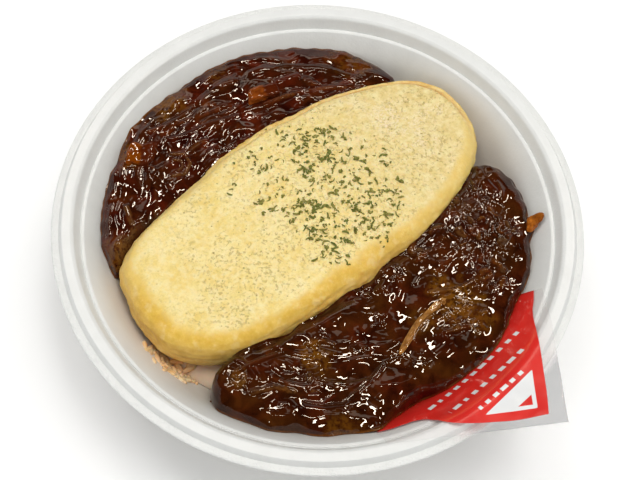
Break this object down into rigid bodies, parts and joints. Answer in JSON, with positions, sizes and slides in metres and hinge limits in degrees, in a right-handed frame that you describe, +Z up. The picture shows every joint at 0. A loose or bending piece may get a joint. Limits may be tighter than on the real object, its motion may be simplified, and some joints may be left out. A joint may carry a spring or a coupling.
{
  "type": "omurice in a takeaway bowl",
  "caption": "Omurice in a round white takeaway bowl: a long plain omelette on ketchup rice between two pools of brown demi-glace sauce, and a printed corner of clear film over the rim.",
  "frame": {"origin": "centre of the bowl's flat base, on the surface it stands on", "axes": "+Z up out of the bowl, +X to the right and +Y to the back as the meal is seen with the film corner at the front right"},
  "size_m": [0.19, 0.19, 0.0552],
  "materials": {
    "bowl_foam": "smooth white pressed foam plastic with a soft sheen",
    "rice": "moist orange rice grains",
    "egg": "finely pitted pale yellow cooked egg, deeper yellow at the sides",
    "sauce": "thick glossy dark brown sauce",
    "carrot": "sauce-coated orange carrot",
    "onion": "translucent amber cooked onion",
    "film": "clear film printed red with a clear margin"
  },
  "bodies": {
    "root": {"bowl": "bowl_foam", "rice": "rice", "omelette": "egg", "sauce_back": "sauce", "sauce_front": "sauce", "carrot_back": "carrot", "carrot_left": "carrot", "carrot_right": "carrot", "onion_strip": "onion", "film_sheet": "film"}
  },
  "joints": []
}
